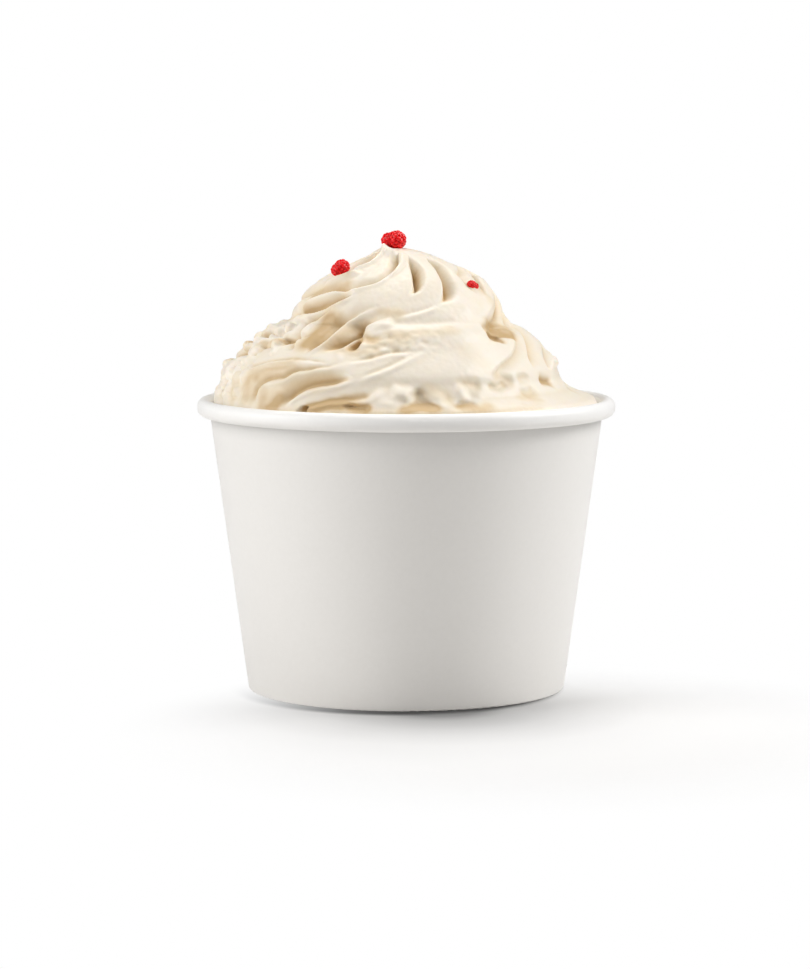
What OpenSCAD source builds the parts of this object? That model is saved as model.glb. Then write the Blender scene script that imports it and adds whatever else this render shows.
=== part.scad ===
// Paper ice cream cup filled with a soft serve swirl and red berry pieces.
// The cup stands on z = 0, its axis is the Z axis, and its side seam is at the back (+Y).

/* [Cup] */
// Outside diameter of the rolled rim
rim_d = 96; // [90:1:110]
// Height from the table to the top of the rim
cup_h = 67; // [58:1:80]
// Outside diameter of the foot
foot_d = 73; // [64:1:80]
// Thickness of the coated board
board_t = 0.35; // [0.25:0.05:0.5]

/* [Rolled rim] */
// Width of the roll, from the mouth to its outside
roll_w = 3.3; // [2.8:0.1:3.6]
// Height of the roll
roll_h = 4; // [3.7:0.1:5]
// Slit between the tucked edge of the roll and the wall
tuck_gap = 0.2; // [0.1:0.05:0.4]

/* [Side seam] */
// Width of the glued lap, measured at the foot
lap_w = 7; // [5:0.5:10]

/* [Base] */
// Depth of the recess under the base
recess_h = 6.5; // [4:0.5:9]
// Distance that the folded hem stops below the base
hem_clear = 0.5; // [0.3:0.1:1]
// Outside radius of the bend between the base and its skirt
bend_r = 0.8; // [0.6:0.1:1.5]
// Glue line on each side of the skirt
glue_gap = 0.05; // [0.02:0.01:0.1]

/* [Soft serve] */
// Height of the peak above the rim
peak_h = 34.5; // [30:0.5:40]
// Lean of the swirl to the left, 0 for none
swirl_lean = 1; // [0:0.1:1]
// Number of flutes
flutes = 16; // [10:1:18]
// Depth of the creases between the flutes
crease_depth = 2.4; // [1:0.1:3]
// Width of the slope on each side of a crease
crease_w = 3.2; // [2:0.1:4]
// Turn of the flutes on the crown, the upper tier, in degrees
crown_turn = 52; // [20:1:80]
// Turn of the flutes on the lower tier, in degrees
tier_turn = 87; // [40:1:120]
// Gap between the filling and the rolled rim
rim_gap = 0.6; // [0.4:0.1:1]
// Distance below the rim at which the filling meets the wall
fill_drop = 3; // [2:0.5:6]
// Gap between the filling and the wall
fill_gap = 0.2; // [0.1:0.05:0.5]

/* [Berry pieces] */
// Length of the piece on the peak
top_berry_l = 6; // [4:0.25:7]
// Length of the piece on the left of the crown
left_berry_l = 4.8; // [3:0.2:6]
// Length of the piece on the right of the crown
right_berry_l = 3; // [2:0.2:4]
// Gap between a berry piece and its seat in the soft serve
seat_gap = 0.15; // [0.1:0.05:0.3]

/* [Hidden] */
$fn = 96;

// Board colours, soft serve colour and berry colour
board_white = [0.93, 0.93, 0.92];
cream = [0.96, 0.91, 0.81];
berry_red = [0.78, 0.05, 0.06];

// Cup wall, worked out from the rim and the foot
rim_r = rim_d / 2;
foot_r = foot_d / 2;
mouth_r = rim_r - roll_w;
wall_top_z = cup_h - roll_h;
wall_top_r = mouth_r + board_t;
wall_slope = (wall_top_r - foot_r) / wall_top_z;
fold_r = board_t;

// Base disc and the skirt that hangs between the wall and the hem
base_top_z = recess_h + board_t;
hem_h = recess_h - hem_clear;
skirt_inset = board_t + glue_gap;
hem_inset = skirt_inset + board_t + glue_gap;
foot_w = hem_inset + board_t;

// Overlap that fuses shapes of one piece of board
fuse = board_t / 2;

// Outside radius of the wall at height z
function wall_r(z) = foot_r + wall_slope * z;

// Section of a strip of board parallel to the wall, inset from its outside, between two heights
module wall_strip(inset, thick, z0, z1) {
  polygon([
    [wall_r(z0) - inset - thick, z0], [wall_r(z0) - inset, z0],
    [wall_r(z1) - inset, z1], [wall_r(z1) - inset - thick, z1]
  ]);
}

// Section of an upright slot shape with round ends, centred on x = 0 and standing on z = 0
module stadium(width, height) {
  r = width / 2;
  translate([0, r]) circle(r);
  translate([0, height - r]) circle(r);
  translate([-r, r]) square([width, height - width]);
}

// Section of the rolled rim: one open turn of board whose edge stops short of the wall
module roll_section() {
  roll_mid = rim_r - roll_w / 2;
  difference() {
    translate([roll_mid, wall_top_z]) stadium(roll_w, roll_h);
    translate([roll_mid, wall_top_z + board_t])
      stadium(roll_w - 2 * board_t, roll_h - 2 * board_t);
    wall_strip(-tuck_gap, tuck_gap, wall_top_z - board_t, wall_top_z + roll_w / 2);
  }
}

// Section of the foot: the wall turns in under the skirt and up again as a hem
module foot_section() {
  out_r = wall_r(fold_r);
  in_r = out_r - foot_w;
  intersection() {
    translate([in_r, 0]) square([foot_w, fold_r]);
    union() {
      translate([out_r - fold_r, fold_r]) circle(fold_r);
      translate([in_r + fold_r, fold_r]) circle(fold_r);
      translate([in_r + fold_r, 0]) square([foot_w - 2 * fold_r, fold_r]);
    }
  }
  wall_strip(hem_inset, board_t, fold_r, hem_h);
}

// Side wall of the cup: one sheet, lapped at the back, rolled at the rim and folded at the foot
module cup_wall() {
  lap_deg = lap_w / foot_r * 180 / PI;
  color(board_white) {
    rotate_extrude() {
      wall_strip(0, board_t, fold_r, wall_top_z + roll_w / 2);
      roll_section();
      foot_section();
    }
    rotate([0, 0, 90 - lap_deg / 2])
      rotate_extrude(angle = lap_deg)
        wall_strip(-board_t, board_t + fuse, 2 * fold_r, wall_top_z);
  }
}

// Base of the cup: a disc with its edge turned down into a skirt
module cup_base() {
  edge_r = wall_r(base_top_z - bend_r) - skirt_inset;
  bend_z = base_top_z - bend_r;
  color(board_white)
    rotate_extrude() {
      translate([0, recess_h]) square([edge_r - bend_r, board_t]);
      translate([edge_r - bend_r, bend_z])
        intersection() {
          difference() {
            circle(bend_r);
            circle(bend_r - board_t);
          }
          square(2 * bend_r);
        }
      wall_strip(skirt_inset, board_t, fold_r + glue_gap, bend_z);
    }
}

// Soft serve: a crown on a lower tier, seen from a hub at the middle of the mouth, fluted by the nozzle
// and turned as the cup was filled. An azimuth is counted from +X, and a polar angle from straight up.
// Each outline runs from the peak to the rim, in shares of the mouth's radius and of the peak's height.
RIGHT_OUTLINE = [
  [0, 1], [0.12, 0.96], [0.22, 0.91], [0.33, 0.85], [0.40, 0.79], [0.45, 0.71], [0.50, 0.63], [0.52, 0.55],
  [0.54, 0.50], [0.61, 0.46], [0.69, 0.38], [0.73, 0.30], [0.77, 0.23], [0.79, 0.15], [0.84, 0.07],
  [0.92, 0.03], [0.98, 0]
];
LEFT_OUTLINE = [
  [0, 1], [0.12, 1], [0.21, 0.96], [0.28, 0.91], [0.42, 0.81], [0.49, 0.75], [0.55, 0.68], [0.58, 0.60],
  [0.60, 0.53], [0.69, 0.47], [0.78, 0.39], [0.87, 0.31], [0.93, 0.23], [0.96, 0.13], [0.98, 0.05], [0.99, 0]
];
outline_soften = 2;
crown_turn_start = 34;
crown_turn_end = 62;
crease_start = 8;
crease_full = 20;
crease_fade = 84;
crease_power = 1.4;
first_crease = 275;
rows = 40;
FLUTE_STEPS = [0, 0.1, 0.24, 0.42, 0.58, 0.76, 0.9];
flute_steps = len(FLUTE_STEPS);
columns = flutes * flute_steps;

// Outline as polar angles and distances from the hub
function polar_table(outline) = [
  for (share = outline)
    let(across = share[0] * mouth_r, up = share[1] * peak_h) [atan2(across, up), norm([across, up])]
];
right_table = polar_table(RIGHT_OUTLINE);
left_table = polar_table(LEFT_OUTLINE);

// Distance from the hub to an outline at a polar angle, with its corners softened
function outline_at(polar, table) =
  let(above = lookup(polar - outline_soften, table), below = lookup(polar + outline_soften, table))
  (above + 2 * lookup(polar, table) + below) / 4;

// Distance from the hub to the swirl without its creases
function smooth_at(azimuth, polar) =
  let(right = outline_at(polar, right_table), left = outline_at(polar, left_table))
  (right + left) / 2 + swirl_lean * (right - left) / 2 * cos(azimuth);

// Smooth step from 0 to 1
function ease(x) = let(t = min(1, max(0, x))) t * t * (3 - 2 * t);

// Turn of the flutes at a polar angle, clockwise from above
function turn_at(polar) =
  crown_turn * ease((polar - crown_turn_start) / (crown_turn_end - crown_turn_start))
  + tier_turn * max(0, (polar - crown_turn_end) / (90 - crown_turn_end));

// Depth of the creases, which run out at the peak and at the rim
function depth_at(polar) =
  crease_depth * ease((polar - crease_start) / (crease_full - crease_start))
  * (1 - ease((polar - crease_fade) / (90 - crease_fade)));

// Distance from the hub to the surface at a phase, 0 to 1 across a flute, clear of the rim
function swirl_at(azimuth, polar, phase) =
  let(
    smooth = smooth_at(azimuth, polar),
    pitch = 2 * PI * smooth * sin(polar) / flutes,
    from_crease = min(phase, 1 - phase) * pitch,
    fluted = smooth - depth_at(polar) * pow(max(0, 1 - from_crease / crease_w), crease_power)
  )
  min(fluted, (mouth_r - rim_gap) / max(sin(polar), rim_gap / mouth_r));

// Azimuth of a column, where its flutes have turned by an angle
function column_azimuth(column, turn) =
  let(flute = floor(column / flute_steps), phase = FLUTE_STEPS[column % flute_steps])
  first_crease + 360 * (flute + phase) / flutes - turn;

// Point at an azimuth, polar angle and distance from the hub
function from_hub(azimuth, polar, distance) =
  [0, 0, cup_h] + distance * direction(azimuth, polar);
function direction(azimuth, polar) =
  [sin(polar) * cos(azimuth), sin(polar) * sin(azimuth), cos(polar)];

// Berry pieces: two lobes that touch the swirl, each covered with drupelets.
// Each row is the azimuth, the polar angle, the heading of the small lobe, the length and the depth
// that the piece has sunk.
BERRIES = [
  [209, 4, 241, top_berry_l, 0],
  [208, 28.6, 267, left_berry_l, 0.45],
  [323, 35, 324, right_berry_l, 1.15]
];
big_lobe = 0.34;
small_lobe = 0.27;
drupelet = 0.13;
drupelet_proud = 0.4;
big_drupelets = 20;
small_drupelets = 14;
lobe_lift = 0.75;
golden_turn = 180 * (3 - sqrt(5));
berry_rows = 16;
berry_columns = 32;

// Radius of a lobe with its drupelets
function lobe_reach(berry, share) = berry[3] * (share + drupelet * drupelet_proud);

// Centre of the big lobe, and of the small one beside it
function big_centre(berry) =
  let(seat = smooth_at(berry[0], berry[1]) - berry[4])
  from_hub(berry[0], berry[1], seat + lobe_lift * berry[3] * big_lobe);
function small_centre(berry) =
  let(
    reach = berry[3] - lobe_reach(berry, big_lobe) - lobe_reach(berry, small_lobe),
    out = direction(berry[0], berry[1]),
    side = [-sin(berry[0]), cos(berry[0]), 0],
    up = cross(out, side)
  )
  big_centre(berry) + reach * (cos(berry[2]) * side + sin(berry[2]) * up);

// Balls of a lobe about a middle: the lobe itself, then its drupelets along a golden spiral
function lobe_balls(middle, radius, drupelet_r, count) = [
  [middle, radius],
  for (i = [0 : count - 1])
    let(
      polar = acos(1 - 2 * (i + 0.5) / count),
      out = radius - drupelet_r * (1 - drupelet_proud)
    )
    [middle + out * direction(golden_turn * i, polar), drupelet_r]
];

// Each lobe as a ball, from the hub: its centre and the radius of its seat
SEATS = [
  for (berry = BERRIES) each [
    [big_centre(berry) - [0, 0, cup_h], lobe_reach(berry, big_lobe) + seat_gap],
    [small_centre(berry) - [0, 0, cup_h], lobe_reach(berry, small_lobe) + seat_gap]
  ]
];

// Distance along a ray from the hub at which it enters a seat, or no limit if it misses
function seat_at(ray, seat) =
  let(along = ray * seat[0], root = along * along - seat[0] * seat[0] + seat[1] * seat[1])
  root < 0 ? peak_h * 2 : along - sqrt(root);

// Point of the swirl's surface on a row and a column
function swirl_point(row, column) =
  let(
    polar = 90 * row / rows,
    phase = FLUTE_STEPS[column % flute_steps],
    azimuth = column_azimuth(column, turn_at(polar)),
    ray = direction(azimuth, polar),
    limits = [for (seat = SEATS) seat_at(ray, seat)]
  )
  from_hub(azimuth, polar, min(swirl_at(azimuth, polar, phase), min(limits)));

// Ring of points of the filling inside the cup
function fill_ring(z) = [
  for (column = [0 : columns - 1])
    let(azimuth = column_azimuth(column, turn_at(90)), r = wall_r(z) - board_t - fill_gap)
    [r * cos(azimuth), r * sin(azimuth), z]
];

// Triangles between rings of points that follow one point at the top
function ring_faces(rings, around) = [
  for (ring = [0 : rings - 2], column = [0 : around - 1])
    let(
      next = (column + 1) % around,
      upper = 1 + ring * around,
      lower = upper + around
    )
    each [
      [upper + column, upper + next, lower + next],
      [upper + column, lower + next, lower + column]
    ]
];

module soft_serve() {
  points = concat(
    [from_hub(0, 0, min(swirl_at(0, 0, 0), min([for (seat = SEATS) seat_at([0, 0, 1], seat)])))],
    [for (row = [1 : rows], column = [0 : columns - 1]) swirl_point(row, column)],
    fill_ring(cup_h - fill_drop),
    fill_ring(base_top_z)
  );
  cap = [for (column = [0 : columns - 1]) [0, 1 + (column + 1) % columns, 1 + column]];
  floor_face = [[for (column = [0 : columns - 1]) 1 + (rows + 1) * columns + column]];
  color(cream) polyhedron(points, concat(cap, ring_faces(rows + 2, columns), floor_face));
}

// Distance along a ray from the origin at which it leaves a ball, or 0 if it misses
function exit_at(ray, ball) =
  let(along = ray * ball[0], root = along * along - ball[0] * ball[0] + ball[1] * ball[1])
  root < 0 ? 0 : along + sqrt(root);

// Berry piece: the outside of all of its balls, seen from the middle between its lobes
module berry(data) {
  size = data[3];
  middle = (big_centre(data) + small_centre(data)) / 2;
  balls = concat(
    lobe_balls(big_centre(data) - middle, size * big_lobe, size * drupelet, big_drupelets),
    lobe_balls(small_centre(data) - middle, size * small_lobe, size * drupelet, small_drupelets)
  );
  rays = concat(
    [[0, 0, 1]],
    [
      for (row = [1 : berry_rows - 1], column = [0 : berry_columns - 1])
        direction(360 * column / berry_columns, 180 * row / berry_rows)
    ],
    [[0, 0, -1]]
  );
  points = [for (ray = rays) middle + ray * max([for (ball = balls) exit_at(ray, ball)])];
  last = len(points) - 1;
  top = [for (column = [0 : berry_columns - 1]) [0, 1 + (column + 1) % berry_columns, 1 + column]];
  bottom = [
    for (column = [0 : berry_columns - 1])
      [last, last - berry_columns + column, last - berry_columns + (column + 1) % berry_columns]
  ];
  color(berry_red)
    polyhedron(points, concat(top, ring_faces(berry_rows - 1, berry_columns), bottom));
}

module berry_top() { berry(BERRIES[0]); }
module berry_left() { berry(BERRIES[1]); }
module berry_right() { berry(BERRIES[2]); }

cup_wall();
cup_base();
soft_serve();
berry_top();
berry_left();
berry_right();
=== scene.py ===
# Paper ice cream cup with a soft serve swirl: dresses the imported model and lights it.
import math
from typing import NamedTuple

import bpy
import numpy as np
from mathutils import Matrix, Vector


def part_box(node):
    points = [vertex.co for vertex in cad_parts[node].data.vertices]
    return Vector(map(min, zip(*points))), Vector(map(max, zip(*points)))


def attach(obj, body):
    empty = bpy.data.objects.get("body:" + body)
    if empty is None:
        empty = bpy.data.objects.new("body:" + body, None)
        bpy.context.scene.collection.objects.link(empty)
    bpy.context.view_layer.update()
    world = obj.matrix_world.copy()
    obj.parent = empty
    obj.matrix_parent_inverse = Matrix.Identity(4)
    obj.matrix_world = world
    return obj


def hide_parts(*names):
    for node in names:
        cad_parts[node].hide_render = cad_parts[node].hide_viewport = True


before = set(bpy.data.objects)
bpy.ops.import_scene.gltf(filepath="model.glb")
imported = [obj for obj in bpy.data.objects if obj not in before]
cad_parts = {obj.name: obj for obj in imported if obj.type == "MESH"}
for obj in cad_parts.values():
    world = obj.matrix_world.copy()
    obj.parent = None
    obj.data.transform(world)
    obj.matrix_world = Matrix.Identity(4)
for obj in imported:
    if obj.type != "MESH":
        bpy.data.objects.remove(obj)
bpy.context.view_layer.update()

MM = 0.001
BODY = "root"

# Camera, from a fit to the ellipses of the rim and the foot
CAMERA_PLACE = (-0.0003, -0.791, 0.1305)
CAMERA_PITCH = math.radians(6.04)
CAMERA_LENS = 128.1


def add_camera():
    data = bpy.data.cameras.new("camera")
    data.lens = CAMERA_LENS
    camera = bpy.data.objects.new("camera", data)
    camera.location = CAMERA_PLACE
    camera.rotation_euler = (math.pi / 2 - CAMERA_PITCH, 0, 0)
    bpy.context.scene.collection.objects.link(camera)
    bpy.context.scene.camera = camera


add_camera()

# Sizes of the cup and its filling in millimetres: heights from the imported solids, radii as they have them
CUP_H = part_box("cup_wall")[1].z / MM
MOUTH_R = 44.7
FOOT_R = 36.5
FILL_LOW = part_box("soft_serve")[0].z / MM
FILL_R_LOW = 36.9
FILL_R_HIGH = 44.6
FILL_DROP = 3.0
RIM_GAP = 0.6

# Photograph: its frame in pixels, the lens there, the rim's centre and the size of a pixel at it
PHOTO_W, PHOTO_H = 810, 969
SENSOR = 36.0
FOCAL_PX = CAMERA_LENS / SENSOR * PHOTO_H
HUB_PX = (406.3, 397.3)
PX_MM = 0.2293

# Soft serve's outline in the photograph, from its peak down to the rim, in pixels
OUTLINE_RIGHT = [
    (430, 253), (450, 261), (470, 269), (485, 278), (495, 290), (503, 302), (508, 314), (512, 322),
    (525, 328), (540, 340), (549, 352), (556, 362), (561, 375), (571, 387), (585, 393), (598, 397),
]
OUTLINE_LEFT = [
    (382, 246), (365, 253), (352, 261), (325, 275), (310, 284), (299, 295), (293, 307), (290, 318),
    (272, 326), (255, 338), (237, 351), (225, 362), (220, 378), (216, 390), (213, 396),
]
PEAK_PX = 247

# Mesh of the soft serve: columns around it, closer together at the front, and rows down it
COLUMNS = 480
ROWS = 200
FRONT_SHARE = 0.5
FRONT = -math.pi / 2


class Crease(NamedTuple):
    """A crease by the pixels that it passes from the top down, with lengths in millimetres.

    above and below are the widths of the slopes into it, and lip is the height of its lower edge.
    start and end are the shares of its length where it fades. tail carries it on, in degrees.
    """
    line: list
    depth: float = 2.2
    above: float = 3.0
    below: float = 1.0
    start: float = 0.15
    end: float = 0.15
    tail: float = 0.0
    lip: float = 0.65


class Dent(NamedTuple):
    """A hollow, or a lump where the height is above 0, along a line of pixels, in millimetres.

    edge is the share of its width that has its full height.
    """
    line: list
    height: float
    width: float
    edge: float = 0.0


CREASES = [
    # Peak and crown, from the left to the right
    Crease([(383, 246), (379, 251), (374, 257), (368, 262), (360, 265), (352, 268)], depth=2.0, above=4.0),
    Crease([(400, 252), (399, 258), (397, 264), (392, 270), (385, 275), (378, 280), (370, 283),
            (358, 286), (346, 288), (335, 289), (324, 292), (314, 295), (306, 299), (301, 305), (298, 312)],
           depth=2.6, above=4.2, start=0.6, tail=15),
    Crease([(400, 252), (399, 258), (397, 264), (392, 270), (385, 275), (378, 280)],
           depth=2.0, above=3.0, end=0.5),
    Crease([(408, 252), (411, 261), (414, 268), (415, 276), (415, 284), (412, 291), (404, 297)],
           depth=3.7, above=1.0, below=3.2, start=0.35, end=0.5, lip=0),
    Crease([(426, 256), (435, 264), (442, 274), (446, 284), (446, 293), (442, 301), (434, 309)],
           depth=3.0, above=1.0, below=4.0, end=0.45, lip=0),
    Crease([(450, 261), (459, 271), (464, 278), (469, 285), (476, 291), (483, 298)],
           depth=1.2, above=1.0, below=4.2, end=0.5, lip=0),
    Crease([(470, 267), (477, 275), (482, 283), (486, 291), (489, 298)],
           depth=2.1, above=2.6, below=1.6, end=0.5, lip=0),
    # Left of the crown, down to the neck
    Crease([(360, 290), (350, 294), (343, 298), (336, 301), (329, 304), (320, 307), (310, 310),
            (302, 312), (295, 317)], depth=2.4, above=3.6, below=0.8, start=0.35),
    Crease([(344, 301), (332, 308), (325, 312), (318, 317), (312, 321), (305, 326), (299, 331),
            (295, 337), (292, 344), (290, 352)], depth=2.5, above=3.4, below=0.8, start=0.4),
    Crease([(392, 302), (382, 304), (372, 307), (362, 311), (352, 317), (343, 324), (335, 331),
            (327, 338), (319, 344), (311, 349), (303, 354)], depth=1.8, above=4.8, below=0.9, start=0.7),
    Crease([(402, 318), (385, 320), (370, 322), (361, 326), (353, 334), (343, 341), (331, 347),
            (318, 352)], depth=2.8, above=3.6, below=2.4, start=0.6, end=0.25, lip=0),
    Crease([(437, 306), (428, 310), (417, 313), (405, 316), (394, 319)],
           depth=0.4, above=2.5, below=0.9, start=0.3, end=0.4, lip=0.35),
    # Lower ropes at the left
    Crease([(332, 364), (318, 362), (305, 360), (290, 359), (275, 360), (262, 363), (250, 367),
            (240, 371), (231, 377)], depth=0.9, above=1.6, below=0.9),
    Crease([(428, 346), (412, 352), (400, 352), (385, 354), (370, 358), (355, 361), (340, 364)],
           depth=0.9, above=2.0, below=0.9, start=0.4, end=0.3, lip=0.3),
    Crease([(352, 361), (340, 364), (328, 367), (318, 368), (308, 370), (297, 371), (289, 374),
            (283, 377), (275, 378), (267, 380), (261, 384), (257, 390), (255, 398), (257, 406)],
           depth=1.4, above=2.6, below=0.9, start=0.3),
    Crease([(440, 343), (428, 348), (415, 354), (405, 359), (395, 364), (383, 369), (370, 374),
            (357, 379), (345, 383)], depth=0.6, above=2.2, below=0.9, start=0.5, end=0.3, lip=0.4),
    Crease([(362, 374), (352, 378), (345, 380), (335, 383), (325, 385), (315, 387), (305, 390),
            (297, 394), (289, 400), (283, 408)], depth=1.7, above=5.2, below=0.9, start=0.35),
    Crease([(390, 384), (378, 390), (368, 397), (358, 400), (345, 401), (330, 402), (318, 405),
            (308, 408), (298, 411)], depth=0.6, above=2.8, below=0.9, start=0.4),
    # Right side
    Crease([(517, 335), (518, 345), (515, 353), (508, 361), (500, 369), (494, 377)],
           depth=1.0, above=1.0, below=4.0, end=0.3, lip=0),
    Crease([(511, 320), (518, 327), (525, 335), (529, 344), (531, 353), (533, 362), (537, 372)],
           depth=1.7, above=1.0, below=4.2, end=0.3, lip=0),
    Crease([(545, 345), (547, 353), (549, 362), (552, 370)], depth=1.0, below=1.5),
]

# Creases at the back, which the photograph doesn't show, by their azimuths and polar angles in degrees
CREASE_STEP = 22.4
CROWN_FIRST, CROWN_COUNT = 365, 10
CROWN_POLAR, CROWN_POINTS = (8, 62), 9
CROWN_BEND, CROWN_TURN = 34, 52
TIER_FIRST, TIER_COUNT = 30, 8
TIER_POLAR, TIER_POINTS = (62, 89), 6
TIER_MIDDLE, TIER_SLOPE = 75, 3.2
BACK_CREASE = Crease([], depth=2.4, above=3.4, below=3.0, lip=0)

# How a crease is cut: its points, how it meets others, its profile, its narrower ends and its smoothing
CREASE_SAMPLES = 70
CREASE_JOIN = 0.3
CREASE_POWER = 1.7
CREASE_SCALE = 1.15
LIP_WIDTH = 1.3
TAPER_START = -0.01
END_WIDTH = 0.5
HEIGHT_BLUR = 1

# A tail's steepest drop for each degree of turn, and the least turn that its slope is taken over
TAIL_DROP = 0.4
TAIL_TURN = 1.0

# Size and cell of the noise that moves creases and dents off their lines, and its shift along each axis
CREASE_WANDER = (0.3, 7.0)
DENT_WANDER = (0.5, 2.6)
WANDER_SHIFTS = (0.3, 5.7, 9.1)

# Painted shade, darker and golden, from the depth of a place and from how far it lies below what is around
# it
SHADE_DEPTH = 0.24
SHADE_CREVICE = 0.5
CREVICE_BLUR = 20

DENTS = [
    # Peak and crown
    Dent([(384, 248), (389, 251), (396, 255)], 1.05, 2.2),
    Dent([(331, 280), (341, 278), (353, 274)], 1.2, 2.0),
    Dent([(345, 293), (335, 296), (322, 300), (310, 305)], -1.0, 2.2),
    Dent([(494, 306), (491, 317), (488, 327)], 1.0, 4.0),
    # Neck and belly
    Dent([(359, 331), (357, 338), (353, 344)], -1.4, 1.6),
    Dent([(356, 342), (350, 346)], -1.8, 1.6),
    Dent([(361, 344), (374, 345)], 0.5, 1.2),
    Dent([(368, 337), (388, 338)], -0.5, 1.8),
    Dent([(374, 327), (386, 327)], 1.2, 2.6),
    Dent([(395, 330), (425, 331), (450, 329), (470, 324)], 1.6, 8.0),
    Dent([(455, 322), (466, 335), (470, 350), (464, 368), (455, 382)], 0.6, 9.0),
    # Pocket at the right
    Dent([(485, 330), (490, 332), (496, 334), (506, 333), (514, 335)], -0.9, 2.4, 0.3),
    Dent([(493, 336), (500, 338)], -1.2, 1.8, 0.4),
    # Right side
    Dent([(500, 378), (508, 381)], -0.8, 2.8),
    Dent([(493, 388), (499, 389), (505, 387)], -0.8, 1.6),
    Dent([(521, 380), (528, 380)], -0.6, 1.8),
    Dent([(527, 395), (536, 394)], -0.8, 2.2),
    Dent([(526, 405), (540, 404)], -0.4, 1.2),
    Dent([(544, 381), (551, 382)], -1.3, 2.2),
    # Along the rim
    Dent([(303, 411)], -2.5, 1.4, 0.4),
    Dent([(350, 409), (364, 411)], -1.0, 1.5),
    Dent([(379, 399), (390, 402)], 1.2, 3.4),
    Dent([(400, 393), (406, 394)], 1.5, 2.9),
    Dent([(412, 395), (424, 393)], -0.6, 1.6),
    Dent([(420, 402), (428, 404)], -1.1, 4.0),
    Dent([(438, 399), (444, 407)], 1.0, 2.4),
    Dent([(460, 391), (462, 396)], 0.6, 2.2),
    Dent([(464, 383), (473, 384)], -0.5, 2.4),
    Dent([(470, 394)], -0.4, 2.4),
    Dent([(472, 405), (460, 406)], -0.9, 2.4),
    # Left and right edges
    Dent([(285, 333), (278, 342), (273, 352)], 1.0, 0.9),
    Dent([(246, 388), (243, 396), (241, 404)], 1.1, 0.9),
    Dent([(553, 357), (554, 363)], 1.2, 1.4),
]


class PaintedShade(NamedTuple):
    """Painted shade along a line of pixels: darker and golden where it is above 0; below 0 it takes painted
    shade away.
    """
    line: list
    tone: float
    width: float


# Painted shade along creases and rope undersides, under a berry, in the pocket and where the cream meets
# the rim
PAINTED_SHADES = [
    # Crown
    PaintedShade([(333, 277), (348, 276)], 0.6, 1.6),
    PaintedShade([(346, 282), (330, 285), (312, 290)], 0.55, 2.4),
    PaintedShade([(340, 299), (318, 304), (303, 308)], 0.6, 2.4),
    PaintedShade([(478, 288), (488, 296), (492, 306)], 0.35, 2.4),
    # Neck and belly
    PaintedShade([(380, 313), (400, 314)], 0.5, 2.6),
    PaintedShade([(330, 320), (318, 332), (306, 344)], 1.1, 4.5),
    PaintedShade([(346, 328), (335, 339), (325, 347)], 0.5, 3.0),
    PaintedShade([(358, 341), (351, 346)], 1.0, 2.2),
    PaintedShade([(361, 334), (374, 340)], 0.5, 2.6),
    PaintedShade([(372, 340), (385, 342), (405, 342)], 0.3, 3.0),
    PaintedShade([(392, 336), (425, 335), (450, 333)], 0.35, 2.6),
    PaintedShade([(338, 350), (350, 351), (364, 351), (376, 351)], 0.4, 2.4),
    PaintedShade([(465, 352), (485, 366)], 0.15, 4.0),
    # Lower ropes at the left
    PaintedShade([(290, 366), (268, 370), (250, 378), (246, 395)], 0.6, 4.0),
    PaintedShade([(330, 379), (305, 382), (285, 388), (268, 396)], 0.45, 4.2),
    PaintedShade([(278, 400), (270, 408)], 0.9, 3.0),
    PaintedShade([(263, 388), (260, 405)], 0.35, 2.5),
    PaintedShade([(256, 380), (250, 404)], 0.3, 2.0),
    PaintedShade([(236, 376), (232, 400)], 0.35, 2.5),
    # Pocket at the right, and the right side
    PaintedShade([(484, 325), (496, 325), (508, 327)], 0.6, 2.2),
    PaintedShade([(484, 329), (490, 331), (499, 332)], 0.8, 2.2),
    PaintedShade([(492, 329), (501, 331), (511, 332)], 1.2, 2.8),
    PaintedShade([(492, 336), (499, 338)], 1.8, 2.4),
    PaintedShade([(503, 333), (514, 336)], 1.2, 2.2),
    PaintedShade([(498, 380), (508, 382)], 0.2, 2.6),
    PaintedShade([(522, 398), (540, 400)], 0.35, 2.4),
    PaintedShade([(544, 381), (551, 382)], 0.5, 2.0),
    # Along the rim
    PaintedShade([(262, 408), (300, 411), (350, 412), (406, 413), (470, 412), (540, 410)], 0.35, 2.2),
    PaintedShade([(308, 410), (318, 408), (335, 406), (364, 409)], 1.3, 2.5),
    PaintedShade([(345, 399), (365, 397)], 0.55, 2.0),
    PaintedShade([(405, 410), (420, 408), (435, 409)], 1.1, 2.6),
    PaintedShade([(428, 388), (442, 395), (452, 404)], 0.35, 2.4),
    PaintedShade([(464, 383), (476, 388)], 0.3, 3.0),
    PaintedShade([(464, 407), (478, 408), (490, 406)], 0.6, 2.6),
    # Crumbs, with painted shade taken off them so that they stay pale
    PaintedShade([(286, 328), (262, 340), (245, 355), (233, 368)], -0.8, 5.0),
]


class Grain(NamedTuple):
    """A grainy patch along a line of pixels: its width, and the size and cell of its grain."""
    line: list
    width: float
    size: float
    cell: float


GRAINS = [
    Grain([(388, 345), (405, 343), (425, 342)], 4.5, 0.24, 1.0),
    Grain([(345, 354), (365, 352), (388, 350)], 3.0, 0.35, 1.4),
]
GRAIN_EDGE = 0.4
GRAIN_SHIFT = 1.7

# Size, cell and shift of the fine grain that the whole swirl has
FINE_GRAIN = (0.05, 0.7)
FINE_SHIFT = 3.3

# Crumbs along the left side of the soft serve, scattered about a line of pixels
CRUMB_LINE = [(278, 331), (261, 341), (246, 356), (234, 369), (227, 384), (223, 396)]
CRUMB_COUNT = 85
CRUMB_SPREAD = 11
CRUMB_R = (0.8, 1.9)
CRUMB_SINK = (0.4, 1.1)
CRUMB_BED = 2.0
CRUMB_SEED, SINK_SEED = 7, 9


def smooth_step(x, low, high):
    t = np.clip((x - low) / (high - low), 0, 1)
    return t * t * (3 - 2 * t)


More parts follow.
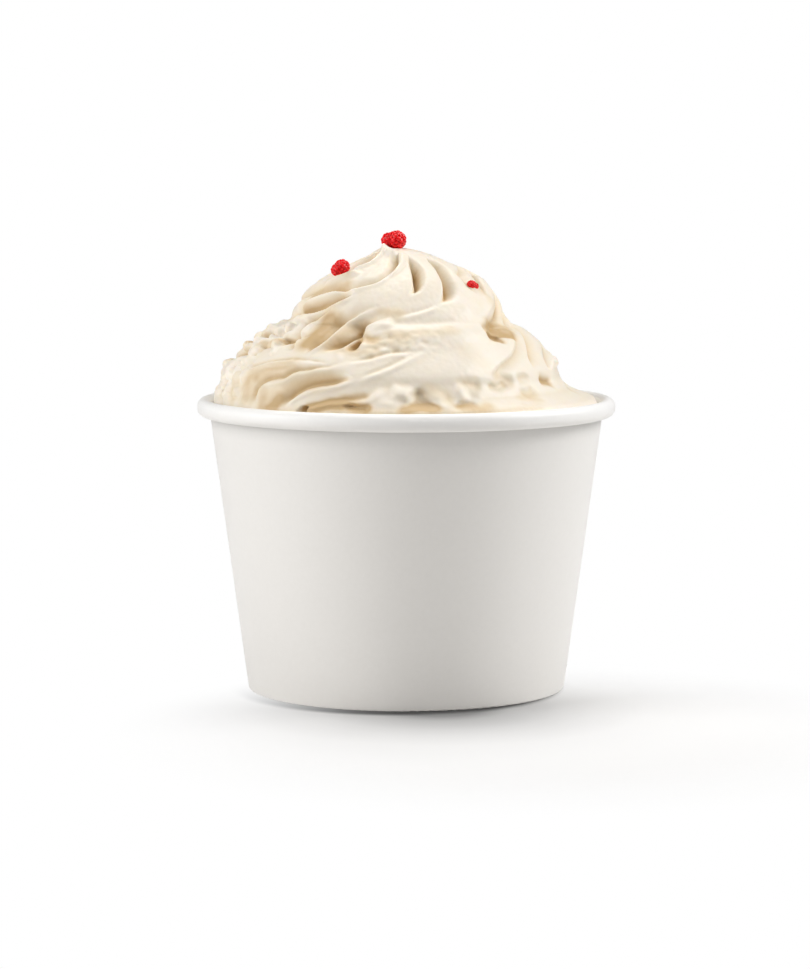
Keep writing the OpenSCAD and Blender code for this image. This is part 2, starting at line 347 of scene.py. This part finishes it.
def soft_max(a, b, width):
    near = np.maximum(width - np.abs(a - b), 0) / width
    return np.maximum(a, b) + near * near * width / 4


# Noise: random values on a lattice, joined smoothly, from -1 to 1
LATTICE = 32
NOISE_SEED = 11
NOISE_VALUES = np.random.default_rng(NOISE_SEED).uniform(-1, 1, (LATTICE, LATTICE, LATTICE))


def noise(points, cell, shift=0.0):
    place = points / cell + shift
    low = np.floor(place).astype(int)
    t = place - low
    t = t * t * (3 - 2 * t)
    total = np.zeros(len(points))
    for corner in np.ndindex(2, 2, 2):
        index = (low + corner) % LATTICE
        weight = np.prod(np.where(np.array(corner) == 1, t, 1 - t), axis=1)
        total += weight * NOISE_VALUES[index[:, 0], index[:, 1], index[:, 2]]
    return total


def directions(azimuth, polar):
    """Unit vectors from the hub, which is the middle of the rim's plane."""
    flat = np.sin(polar)
    return np.stack([flat * np.cos(azimuth), flat * np.sin(azimuth), np.cos(polar)], axis=-1)


# Polar angles at which the outline is tabled, and how often the table is smoothed
TABLE_SIZE = 361
TABLE_POLAR = np.linspace(0, math.pi / 2, TABLE_SIZE)
TABLE_BLUR = 6


def outline_table(points):
    """How far from the hub an outline is at each polar angle of the table, a little smoothed."""
    across = np.array([0] + [abs(x - HUB_PX[0]) for x, _ in points]) * PX_MM
    up = np.array([HUB_PX[1] - PEAK_PX] + [HUB_PX[1] - y for _, y in points]) * PX_MM
    table = np.interp(TABLE_POLAR, np.arctan2(across, up), np.hypot(across, up))
    for _ in range(TABLE_BLUR):
        padded = np.pad(table, 1, mode="edge")
        table = (padded[:-2] + padded[1:-1] + padded[2:]) / 3
    return table


RIGHT_TABLE = outline_table(OUTLINE_RIGHT)
LEFT_TABLE = outline_table(OUTLINE_LEFT)


def swirl_base(azimuth, polar):
    """How far from the hub the plain swirl is: its two outlines, blended round it."""
    right = np.interp(polar, TABLE_POLAR, RIGHT_TABLE)
    left = np.interp(polar, TABLE_POLAR, LEFT_TABLE)
    return (right + left) / 2 + (right - left) / 2 * np.cos(azimuth)


def polar_of(places):
    azimuth = np.arctan2(places[..., 1], places[..., 0])
    polar = np.arctan2(np.hypot(places[..., 0], places[..., 1]), places[..., 2])
    return azimuth, polar


# Where along a line of sight the swirl is looked for, in millimetres from the camera, and in how many steps
SIGHT_NEAR, SIGHT_FAR, SIGHT_STEPS = 730.0, 850.0, 1500


def on_swirl(pixels):
    """Azimuth and polar angle, in degrees, of the places on the swirl that the pixels show."""
    pixels = np.array(pixels, float)
    across = (pixels[:, 0] - PHOTO_W / 2) / FOCAL_PX
    down = (pixels[:, 1] - PHOTO_H / 2) / FOCAL_PX
    sine, cosine = math.sin(CAMERA_PITCH), math.cos(CAMERA_PITCH)
    rays = np.stack([across, cosine - down * sine, -sine - down * cosine], axis=1)
    steps = np.linspace(SIGHT_NEAR, SIGHT_FAR, SIGHT_STEPS)
    hub = np.array([0, 0, CUP_H])
    places = np.array(CAMERA_PLACE) / MM - hub + steps[None, :, None] * rays[:, None, :]
    azimuth, polar = polar_of(places)
    above = np.linalg.norm(places, axis=2) - swirl_base(azimuth, polar)
    hit = np.where((above < 0).any(1), np.argmax(above < 0, axis=1), np.argmin(above, axis=1))
    row = np.arange(len(pixels))
    return np.degrees(np.stack([azimuth[row, hit] % (2 * math.pi), polar[row, hit]], axis=1))


# How far short of its last point a curve stops
NEARLY = 1e-6


def spline(points, count):
    """Places along a smooth curve through points that are given in degrees."""
    points = np.array(points, float)
    points[:, 0] = np.degrees(np.unwrap(np.radians(points[:, 0])))
    padded = np.vstack([2 * points[0] - points[1], points, 2 * points[-1] - points[-2]])
    t = np.linspace(0, len(points) - 1 - NEARLY, count)
    i = t.astype(int)
    u = (t - i)[:, None]
    p0, p1, p2, p3 = (padded[i + k] for k in range(4))
    return 0.5 * (
        2 * p1 + (p2 - p0) * u + (2 * p0 - 5 * p1 + 4 * p2 - p3) * u ** 2
        + (3 * p1 - p0 - 3 * p2 + p3) * u ** 3
    )


def base_places(azimuth, polar):
    return swirl_base(azimuth, polar)[..., None] * directions(azimuth, polar)


def crown_line(azimuth):
    """A crease at the back of the crown, which turns as it comes down."""
    polar = np.linspace(*CROWN_POLAR, CROWN_POINTS)
    turn = CROWN_TURN * smooth_step(polar, CROWN_BEND, CROWN_POLAR[1])
    return np.stack([azimuth - turn, polar], axis=1)


def tier_line(azimuth):
    """A slanting crease at the back of the lower tier."""
    polar = np.linspace(*TIER_POLAR, TIER_POINTS)
    return np.stack([azimuth - TIER_SLOPE * (polar - TIER_MIDDLE), polar], axis=1)


def tailed(line, tail):
    """The line, carried on round the swirl by that many degrees at the slope of its end."""
    if tail == 0:
        return line
    drop = (line[-1] - line[-3])[1] / max(line[-3][0] - line[-1][0], TAIL_TURN)
    step = np.array([-1, min(drop, TAIL_DROP)])
    return np.vstack([line, line[-1] + step * tail / 2, line[-1] + step * tail])


def stroke(places, line, reach):
    """Places near a line on the swirl: which they are, how far they are across it and along it."""
    line = np.radians(spline(line, CREASE_SAMPLES) if len(line) > 1 else line)
    centre = base_places(line[:, 0], line[:, 1])
    middle = centre.mean(0)
    span = np.linalg.norm(centre - middle, axis=1).max() + reach
    near = np.flatnonzero(np.linalg.norm(places - middle, axis=1) < span)
    local = places[near]
    square = (local ** 2).sum(1)[:, None] - 2 * local @ centre.T + (centre ** 2).sum(1)[None, :]
    nearest = np.argmin(square, axis=1)
    offset = local - centre[nearest]
    if len(line) == 1:
        nothing = np.zeros(len(near))
        return near, np.linalg.norm(offset, axis=1), nothing, nothing
    along = np.gradient(centre, axis=0)
    side = np.cross(directions(line[:, 0], line[:, 1]), along)
    right = (offset * side[nearest]).sum(1) > 0
    return near, np.linalg.norm(offset, axis=1), right, nearest / (CREASE_SAMPLES - 1)


def carve(places, line, crease):
    """The places that a crease reaches, how deep it is there and how high its lip is."""
    near, distance, right, share = stroke(places, line, max(crease.above, crease.below + LIP_WIDTH))
    taper = smooth_step(share, TAPER_START, crease.start)
    taper *= smooth_step(1 - share, TAPER_START, crease.end)
    width = np.where(right, crease.below, crease.above) * (END_WIDTH + (1 - END_WIDTH) * taper)
    x = np.minimum(distance / width, 1)
    from_lip = np.where(right, np.abs(distance - crease.below), LIP_WIDTH) / LIP_WIDTH
    lip = crease.lip * taper * (1 - smooth_step(from_lip, 0, 1))
    return near, CREASE_SCALE * crease.depth * taper * (1 - x) ** CREASE_POWER, lip


def press(places, dent):
    """The places that a dent reaches and its height there."""
    near, distance, _, _ = stroke(places, on_swirl(dent.line), dent.width)
    return near, dent.height * (1 - smooth_step(distance / dent.width, dent.edge, 1))


def add_grain(places, height):
    """Adds fine noise everywhere and coarser noise at the grainy patches."""
    size, cell = FINE_GRAIN
    height += size * noise(places, cell, FINE_SHIFT)
    for grain in GRAINS:
        near, distance, _, _ = stroke(places, on_swirl(grain.line), grain.width)
        weight = 1 - smooth_step(distance / grain.width, GRAIN_EDGE, 1)
        height[near] += grain.size * weight * noise(places[near], grain.cell, GRAIN_SHIFT)


def crumb_beads():
    """Where the crumbs lie on the swirl, and their radii."""
    random = np.random.default_rng(CRUMB_SEED)
    share = random.uniform(0, len(CRUMB_LINE) - 1, CRUMB_COUNT)
    x = np.interp(share, range(len(CRUMB_LINE)), [x for x, _ in CRUMB_LINE])
    y = np.interp(share, range(len(CRUMB_LINE)), [y for _, y in CRUMB_LINE])
    pixels = np.stack([x, y], axis=1) + random.uniform(-CRUMB_SPREAD, CRUMB_SPREAD, (CRUMB_COUNT, 2))
    return on_swirl(pixels), random.uniform(*CRUMB_R, CRUMB_COUNT)


def crumb_bed(places):
    """The places that the crumbs lie in and how far they are sunk."""
    reach = CRUMB_SPREAD * PX_MM
    near, distance, _, _ = stroke(places, on_swirl(CRUMB_LINE), reach * 2)
    return near, CRUMB_BED * (1 - smooth_step(distance, reach, reach * 2))


def add_crumbs(rays, distance):
    """Raises the distance along each ray to the far side of every bead that the ray meets."""
    lines, radii = crumb_beads()
    random = np.random.default_rng(SINK_SEED)
    sink = random.uniform(*CRUMB_SINK, len(radii))
    for line, radius, low in zip(np.radians(lines), radii, sink):
        centre = directions(line[0], line[1]) * (swirl_base(line[0], line[1]) - low * radius)
        along = rays @ centre
        root = radius ** 2 - centre @ centre + along ** 2
        met = (root > 0) & (along > 0)
        distance[met] = np.maximum(distance[met], along[met] + np.sqrt(root[met]))


def grid_blur(values, times):
    """Values on the mesh's grid, averaged with their neighbours."""
    for _ in range(times):
        values = (values + np.roll(values, 1, 1) + np.roll(values, -1, 1)) / 3
        up = np.vstack([values[:1], values[:-1]])
        down = np.vstack([values[1:], values[-1:]])
        values = (values + up + down) / 3
    return values


def wander(places, size, cell):
    """Places moved a little by noise, so that what is cut there isn't too even."""
    return places + size * np.stack([noise(places, cell, shift) for shift in WANDER_SHIFTS], axis=1)


def column_turns():
    """Azimuths of the mesh's columns, closer together at the front."""
    even = np.arange(COLUMNS) * 2 * math.pi / COLUMNS
    return even - FRONT_SHARE * np.sin(even) + FRONT


def swirl_grid():
    """Azimuths and polar angles of the mesh's points, in rows that are even along the front."""
    profile = base_places(np.full(TABLE_POLAR.shape, FRONT), TABLE_POLAR)
    length = np.concatenate([[0], np.cumsum(np.linalg.norm(np.diff(profile, axis=0), axis=1))])
    polar_rows = np.interp(np.linspace(0, length[-1], ROWS + 1)[1:], length, TABLE_POLAR)
    return np.meshgrid(column_turns(), polar_rows)


def crease_heights(places):
    """How high the lips of the creases are at each place, less how deep the creases are."""
    cut = np.zeros(len(places))
    raised = np.zeros(len(places))
    laid = [(tailed(on_swirl(crease.line), crease.tail), crease) for crease in CREASES]
    laid += [(crown_line(CROWN_FIRST + CREASE_STEP * k), BACK_CREASE) for k in range(CROWN_COUNT)]
    laid += [(tier_line(TIER_FIRST + CREASE_STEP * k), BACK_CREASE) for k in range(TIER_COUNT)]
    for line, crease in laid:
        near, depth, lip = carve(places, line, crease)
        cut[near] = soft_max(cut[near], depth, CREASE_JOIN)
        raised[near] = np.maximum(raised[near], lip)
    return raised - cut


def sculpt_swirl():
    """Azimuths and polar angles of the swirl's points, how far from the hub they are, and the painted shade
    at each.
    """
    azimuth, polar = swirl_grid()
    base = swirl_base(azimuth, polar)
    places = (base[..., None] * directions(azimuth, polar)).reshape(-1, 3)
    slightly = wander(places, *CREASE_WANDER)
    wandered = wander(slightly, *DENT_WANDER)
    height = crease_heights(slightly)
    for dent in DENTS:
        near, rise = press(wandered, dent)
        height[near] += rise
    add_grain(places, height)
    # Painted shade: darker and golden where the surface lies below the plain swirl, in creases and hollows
    tone = np.maximum(-height, 0) * SHADE_DEPTH
    for shade_line in PAINTED_SHADES:
        near, change = press(wandered, Dent(shade_line.line, shade_line.tone, shade_line.width))
        tone[near] += change
    near, bed = crumb_bed(places)
    height[near] -= bed
    distance = base + grid_blur(height.reshape(base.shape), HEIGHT_BLUR)
    distance = distance.ravel()
    add_crumbs(directions(azimuth, polar).reshape(-1, 3), distance)
    distance = distance.reshape(base.shape)
    distance = np.minimum(distance, (MOUTH_R - RIM_GAP) / np.sin(polar))
    # Painted shade in crevices, by how far each place lies below its blurred neighbours
    crevice = np.maximum(grid_blur(distance, CREVICE_BLUR) - distance, 0)
    return azimuth, polar, distance, tone.reshape(base.shape) + crevice * SHADE_CREVICE


def ring(radius, z):
    turn = column_turns()
    return np.stack([radius * np.cos(turn), radius * np.sin(turn), np.full(COLUMNS, z)], axis=1)


def skin_faces(rings, columns):
    """Faces of a closed skin whose points are a pole, rings from the top down, and a pole."""
    around = np.arange(columns)
    after = (around + 1) % columns
    faces = [(0, 1 + int(i), 1 + int(j)) for i, j in zip(around, after)]
    for row in range(rings - 1):
        upper = 1 + row * columns
        lower = upper + columns
        faces += list(zip((upper + around).tolist(), (lower + around).tolist(),
                          (lower + after).tolist(), (upper + after).tolist()))
    last = 1 + (rings - 1) * columns
    pole = 1 + rings * columns
    return faces + [(pole, last + int(j), last + int(i)) for i, j in zip(around, after)]


def add_skin(name, points, columns, layer, values):
    """A smooth closed mesh in millimetres, with a named value at each of its points."""
    mesh = bpy.data.meshes.new(name)
    mesh.from_pydata((points * MM).tolist(), [], skin_faces((len(points) - 2) // columns, columns))
    mesh.polygons.foreach_set("use_smooth", [True] * len(mesh.polygons))
    mesh.attributes.new(layer, "FLOAT", "POINT").data.foreach_set("value", values)
    skin = bpy.data.objects.new(name, mesh)
    bpy.context.scene.collection.objects.link(skin)
    return skin


def dress(thing, material):
    thing.data.materials.clear()
    thing.data.materials.append(material)


def wear(skin, node, material):
    """Shows the skin in place of a solid."""
    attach(skin, BODY)
    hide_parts(node)
    dress(skin, material)


def add_swirl(material):
    azimuth, polar, distance, tone = sculpt_swirl()
    surface = distance[..., None] * directions(azimuth, polar)
    surface = surface.reshape(-1, 3) + (0, 0, CUP_H)
    top = np.array([[0, 0, CUP_H + distance[0].mean()]])
    inside = np.vstack([ring(FILL_R_HIGH, CUP_H - FILL_DROP), ring(FILL_R_LOW, FILL_LOW)])
    bottom = np.array([[0, 0, FILL_LOW]])
    painted_shades = np.concatenate([[0], tone.ravel(), np.zeros(len(inside) + 1)])
    swirl = add_skin("soft_serve_swirl", np.vstack([top, surface, inside, bottom]), COLUMNS, "tone", painted_shades)
    wear(swirl, "soft_serve", material)


class Berry(NamedTuple):
    """A piece of berry: its length in millimetres, the heading of its small lobe and its random seed."""
    length: float
    heading: tuple
    seed: int


BERRIES = {
    "berry_top": Berry(6.0, (-1.0, 0.0, -0.02), 9),
    "berry_left": Berry(4.8, (-0.80, -0.36, -0.48), 10),
    "berry_right": Berry(3.0, (0.87, 0.36, -0.34), 11),
}

# The two lobes of each piece and their drupelets, as shares of its length
BIG_REACH, SMALL_REACH = 0.392, 0.322
DRUPELET_R = (0.075, 0.115)
DRUPELET_PROUD = 0.32
BIG_DRUPELETS, SMALL_DRUPELETS = 60, 40
GOLDEN_TURN = math.pi * (3 - math.sqrt(5))
BERRY_COLUMNS, BERRY_ROWS = 112, 72


def lobe_balls(middle, reach, count, random):
    """Centres and radii of the balls of a lobe: its body, then its drupelets along a golden spiral."""
    radii = random.uniform(*DRUPELET_R, count)
    body = reach - max(DRUPELET_R) * DRUPELET_PROUD
    polar = np.arccos(1 - 2 * (np.arange(count) + 0.5) / count)
    outward = directions(np.arange(count) * GOLDEN_TURN, polar)
    centres = middle + outward * (body - radii * (1 - DRUPELET_PROUD))[:, None]
    return np.vstack([middle, centres]), np.append(body, radii)


def ball_exits(rays, centres, radii):
    """How far along each ray from the middle each ball ends, or 0 where the ray misses it."""
    along = rays @ centres.T
    root = radii ** 2 - (centres ** 2).sum(1) + along ** 2
    return np.where(root > 0, along + np.sqrt(np.maximum(root, 0)), 0)


def add_berry(node, berry, material):
    low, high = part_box(node)
    step = np.array(berry.heading) * (1 - BIG_REACH - SMALL_REACH)
    shift = np.sign(step) * np.minimum(np.abs(step), BIG_REACH - SMALL_REACH) / 2
    middle = np.array((low + high) / 2) / MM + shift * berry.length
    random = np.random.default_rng(berry.seed)
    big = lobe_balls(-step / 2, BIG_REACH, BIG_DRUPELETS, random)
    small = lobe_balls(step / 2, SMALL_REACH, SMALL_DRUPELETS, random)
    turns = np.arange(BERRY_COLUMNS) * 2 * math.pi / BERRY_COLUMNS
    azimuth, polar = np.meshgrid(turns, np.linspace(0, math.pi, BERRY_ROWS + 2)[1:-1])
    rays = np.vstack([[0, 0, 1], directions(azimuth, polar).reshape(-1, 3), [0, 0, -1]])
    big_exits, small_exits = ball_exits(rays, *big), ball_exits(rays, *small)
    distance = np.maximum(big_exits.max(1), small_exits.max(1))
    body = np.maximum(big_exits[:, 0], small_exits[:, 0])
    proud = (distance - body) / (max(DRUPELET_R) * DRUPELET_PROUD)
    points = middle + rays * distance[:, None] * berry.length
    skin = add_skin(node + "_drupelets", points, BERRY_COLUMNS, "proud", proud)
    wear(skin, node, material)


# Materials
WHITE = (1, 1, 1, 1)


def new_material(name):
    material = bpy.data.materials.new(name)
    material.use_nodes = True
    nodes = material.node_tree.nodes
    return material, nodes, material.node_tree.links, nodes["Principled BSDF"]


def set_inputs(node, values):
    for name, value in values.items():
        node.inputs[name].default_value = value


def new_mix(nodes):
    mix = nodes.new("ShaderNodeMix")
    mix.data_type = "RGBA"
    return mix


def add_bump(nodes, links, shader, scale, detail, distance, strength):
    """Fine relief from noise, with cells of 1 / scale metres."""
    place = nodes.new("ShaderNodeTexCoord")
    grain = nodes.new("ShaderNodeTexNoise")
    set_inputs(grain, {"Scale": scale, "Detail": detail})
    bump = nodes.new("ShaderNodeBump")
    set_inputs(bump, {"Distance": distance, "Strength": strength})
    links.new(place.outputs["Object"], grain.inputs["Vector"])
    links.new(grain.outputs["Fac"], bump.inputs["Height"])
    links.new(bump.outputs["Normal"], shader.inputs["Normal"])
    return grain


def add_ramp(nodes, links, source, target, colours):
    """Colours spread evenly over a value from 0 to 1."""
    ramp = nodes.new("ShaderNodeValToRGB")
    stops = ramp.color_ramp.elements
    stops[0].color = colours[0]
    stops[1].color = colours[-1]
    for k, colour in enumerate(colours[1:-1], 1):
        stops.new(k / (len(colours) - 1)).color = colour
    links.new(source, ramp.inputs["Fac"])
    links.new(ramp.outputs["Color"], target)


# The cream: pale, turning tan and golden with the painted shade at each point, with a speckle from its
# grain
CREAM_SHADE_RAMP = [
    (0.895, 0.83, 0.73, 1), (0.83, 0.735, 0.58, 1), (0.73, 0.59, 0.40, 1), (0.60, 0.43, 0.23, 1),
]
CREAM_SPECKLE = 0.1


def cream_material():
    material, nodes, links, shader = new_material("vanilla_cream")
    set_inputs(shader, {
        "Roughness": 0.42,
        "Specular IOR Level": 0.35,
        "Subsurface Weight": 0.3,
        "Subsurface Radius": (1.0, 0.75, 0.45),
        "Subsurface Scale": 0.0008,
    })
    # Painted shade at each point, as set on the mesh
    tone = nodes.new("ShaderNodeAttribute")
    tone.attribute_name = "tone"
    grain = add_bump(nodes, links, shader, scale=1300, detail=3, distance=0.0002, strength=0.15)
    speckle = nodes.new("ShaderNodeMath")
    speckle.operation = "MULTIPLY_ADD"
    speckle.inputs[1].default_value = CREAM_SPECKLE
    links.new(grain.outputs["Fac"], speckle.inputs[0])
    links.new(tone.outputs["Fac"], speckle.inputs[2])
    add_ramp(nodes, links, speckle.outputs["Value"], shader.inputs["Base Color"], CREAM_SHADE_RAMP)
    return material


# The board: fibres vary its tone, painted light makes the rolled rim whiter, and painted shade darkens the
# crevice under it
BOARD_TONES = [(0.769, 0.750, 0.718, 1), (0.799, 0.780, 0.751, 1)]
RIM_PAINTED_LIGHT_TONES = [(0.92, 0.915, 0.90, 1), (0.95, 0.945, 0.93, 1)]
RIM_LOW, RIM_HIGH = CUP_H - 3.2, CUP_H - 1.3
CREVICE_SHADE_REACH = 0.004
CREVICE_SHADE_SHARE = 0.55


def board_material():
    material, nodes, links, shader = new_material("coated_board")
    set_inputs(shader, {"Roughness": 0.5, "Coat Weight": 0.25, "Coat Roughness": 0.35})
    fibre = add_bump(nodes, links, shader, scale=900, detail=4, distance=0.00005, strength=0.12)
    board = new_mix(nodes)
    add_ramp(nodes, links, fibre.outputs["Fac"], board.inputs["A"], BOARD_TONES)
    add_ramp(nodes, links, fibre.outputs["Fac"], board.inputs["B"], RIM_PAINTED_LIGHT_TONES)
    # Painted light: the board turns whiter from the rim's underside up
    place = nodes.new("ShaderNodeNewGeometry")
    height = nodes.new("ShaderNodeSeparateXYZ")
    rim = nodes.new("ShaderNodeMapRange")
    set_inputs(rim, {"From Min": RIM_LOW * MM, "From Max": RIM_HIGH * MM})
    links.new(place.outputs["Position"], height.inputs["Vector"])
    links.new(height.outputs["Z"], rim.inputs["Value"])
    links.new(rim.outputs["Result"], board.inputs["Factor"])
    # Painted shade: ambient occlusion darkens the crevice under the rim
    crevice = nodes.new("ShaderNodeAmbientOcclusion")
    crevice.only_local = True
    crevice.inputs["Distance"].default_value = CREVICE_SHADE_REACH
    shaded = new_mix(nodes)
    shaded.inputs["Factor"].default_value = CREVICE_SHADE_SHARE
    links.new(board.outputs["Result"], crevice.inputs["Color"])
    links.new(board.outputs["Result"], shaded.inputs["A"])
    links.new(crevice.outputs["Color"], shaded.inputs["B"])
    links.new(shaded.outputs["Result"], shader.inputs["Base Color"])
    return material


# The berries: painted shade, deeper red between the drupelets than on them
BERRY_SHADE_TONES = [(0.62, 0.002, 0.004, 1), (0.88, 0.006, 0.010, 1), (0.95, 0.016, 0.020, 1)]


def berry_material():
    material, nodes, links, shader = new_material("red_berry")
    set_inputs(shader, {
        "Roughness": 0.25,
        "Specular IOR Level": 0.3,
        "Subsurface Weight": 0.15,
        "Subsurface Radius": (1.0, 0.2, 0.1),
        "Subsurface Scale": 0.0006,
    })
    proud = nodes.new("ShaderNodeAttribute")
    proud.attribute_name = "proud"
    add_bump(nodes, links, shader, scale=2600, detail=2, distance=0.0001, strength=0.2)
    add_ramp(nodes, links, proud.outputs["Fac"], shader.inputs["Base Color"], BERRY_SHADE_TONES)
    return material


def grey(value):
    return (value, value, value, 1)


# The floor for the camera: a painted shadow, dark in a line round the foot and grey in front of it, and
# white about the shadow
LINE_SHADOW_TONE = grey(0.08)
LINE_MIDDLE = (-0.0022, -0.0036, 0)
LINE_REACH = ((FOOT_R - 1.5) * MM, (FOOT_R + 2.5) * MM)
CONTACT_SHADOW_TONES = [grey(value) for value in (0.24, 0.45, 0.55, 0.66, 0.73, 0.77, 0.80)]
CONTACT_MIDDLE = (0.007, -0.032, 0)
CONTACT_REACH = (0.010, 0.046)
SHADOW_MIDDLE = (0.026, -0.062, 0)
SHADOW_REACH = (0.034, 0.094)

# The floor for bounced light: a plain tone, with painted shade near the foot
FLOOR_TONE = grey(0.92)
NEAR_SHADE_TONE = grey(0.62)
NEAR_REACH = (0.004, 0.032)
FLOOR_HALF = 6.0


def spread(nodes, links, middle, reach):
    """A value that goes from 0 to 1 with the distance from a place on the floor."""
    place = nodes.new("ShaderNodeNewGeometry")
    length = nodes.new("ShaderNodeVectorMath")
    length.operation = "DISTANCE"
    length.inputs[1].default_value = middle
    fade = nodes.new("ShaderNodeMapRange")
    fade.interpolation_type = "SMOOTHSTEP"
    set_inputs(fade, {"From Min": reach[0], "From Max": reach[1]})
    links.new(place.outputs["Position"], length.inputs[0])
    links.new(length.outputs["Value"], fade.inputs["Value"])
    return fade


def floor_material():
    material, nodes, links, shader = new_material("white_floor")
    set_inputs(shader, {"Roughness": 0.9, "Specular IOR Level": 0.0})
    # Painted shade for bounced light, near the foot
    bounce = new_mix(nodes)
    set_inputs(bounce, {"A": NEAR_SHADE_TONE, "B": FLOOR_TONE})
    near = spread(nodes, links, CONTACT_MIDDLE, NEAR_REACH)
    links.new(near.outputs["Result"], bounce.inputs["Factor"])
    # Painted shadow that the camera sees: the dark line round the foot and the greys in front of it
    lined = new_mix(nodes)
    lined.inputs["A"].default_value = LINE_SHADOW_TONE
    line = spread(nodes, links, LINE_MIDDLE, LINE_REACH)
    links.new(line.outputs["Result"], lined.inputs["Factor"])
    contact = spread(nodes, links, CONTACT_MIDDLE, CONTACT_REACH)
    contact.interpolation_type = "LINEAR"
    add_ramp(nodes, links, contact.outputs["Result"], lined.inputs["B"], CONTACT_SHADOW_TONES)
    path = nodes.new("ShaderNodeLightPath")
    seen = new_mix(nodes)
    links.new(path.outputs["Is Camera Ray"], seen.inputs["Factor"])
    links.new(bounce.outputs["Result"], seen.inputs["A"])
    links.new(lined.outputs["Result"], seen.inputs["B"])
    links.new(seen.outputs["Result"], shader.inputs["Base Color"])
    fade = spread(nodes, links, SHADOW_MIDDLE, SHADOW_REACH)
    gate = nodes.new("ShaderNodeMath")
    gate.operation = "MULTIPLY"
    links.new(fade.outputs["Result"], gate.inputs[0])
    links.new(path.outputs["Is Camera Ray"], gate.inputs[1])
    white = nodes.new("ShaderNodeEmission")
    set_inputs(white, {"Color": WHITE, "Strength": 1.0})
    mix = nodes.new("ShaderNodeMixShader")
    links.new(gate.outputs["Value"], mix.inputs["Fac"])
    links.new(shader.outputs["BSDF"], mix.inputs[1])
    links.new(white.outputs["Emission"], mix.inputs[2])
    links.new(mix.outputs["Shader"], nodes["Material Output"].inputs["Surface"])
    return material


def add_floor():
    mesh = bpy.data.meshes.new("floor")
    corners = [(x * FLOOR_HALF, y * FLOOR_HALF, 0) for x, y in ((-1, -1), (1, -1), (1, 1), (-1, 1))]
    mesh.from_pydata(corners, [], [(0, 1, 2, 3)])
    floor = bpy.data.objects.new("floor", mesh)
    bpy.context.scene.collection.objects.link(floor)
    mesh.materials.append(floor_material())


class Lamp(NamedTuple):
    """A square soft box: its place in metres, its power in watts and its colour."""
    place: tuple
    power: float
    colour: tuple = (1, 1, 1)


LAMPS = {
    "left_low_box": Lamp((-0.84, -0.22, 0.20), 2.5),
    "left_high_box": Lamp((-0.70, -0.20, 0.55), 3.0),
    "right_box": Lamp((0.68, 0.0, 0.60), 6.1),
    "key_box": Lamp((-0.02, 0.34, 0.86), 2.5),
    "front_box": Lamp((-0.05, -0.40, 0.80), 1.65, (1, 0.95, 0.89)),
}
LAMP_SIZE = 0.45
LAMP_AIM = (0, 0, 0.07)
WORLD_STRENGTH = 0.01


def add_lamp(name, lamp):
    data = bpy.data.lights.new(name, "AREA")
    data.shape = "SQUARE"
    data.size = LAMP_SIZE
    data.energy = lamp.power
    data.color = lamp.colour
    box = bpy.data.objects.new(name, data)
    box.location = lamp.place
    box.rotation_euler = (Vector(LAMP_AIM) - Vector(lamp.place)).to_track_quat("-Z", "Y").to_euler()
    bpy.context.scene.collection.objects.link(box)


def add_world():
    """A faint even light, which the camera sees as plain white."""
    world = bpy.data.worlds.new("studio")
    world.use_nodes = True
    nodes, links = world.node_tree.nodes, world.node_tree.links
    light = nodes["Background"]
    set_inputs(light, {"Color": WHITE, "Strength": WORLD_STRENGTH})
    white = nodes.new("ShaderNodeBackground")
    set_inputs(white, {"Color": WHITE, "Strength": 1.0})
    path = nodes.new("ShaderNodeLightPath")
    mix = nodes.new("ShaderNodeMixShader")
    links.new(path.outputs["Is Camera Ray"], mix.inputs["Fac"])
    links.new(light.outputs["Background"], mix.inputs[1])
    links.new(white.outputs["Background"], mix.inputs[2])
    links.new(mix.outputs["Shader"], nodes["World Output"].inputs["Surface"])
    bpy.context.scene.world = world


add_swirl(cream_material())
board = board_material()
for node in ("cup_wall", "cup_base"):
    dress(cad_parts[node], board)
red = berry_material()
for node, berry in BERRIES.items():
    add_berry(node, berry, red)
add_floor()
for name, lamp in LAMPS.items():
    add_lamp(name, lamp)
add_world()
bpy.context.scene.view_settings.view_transform = "Standard"
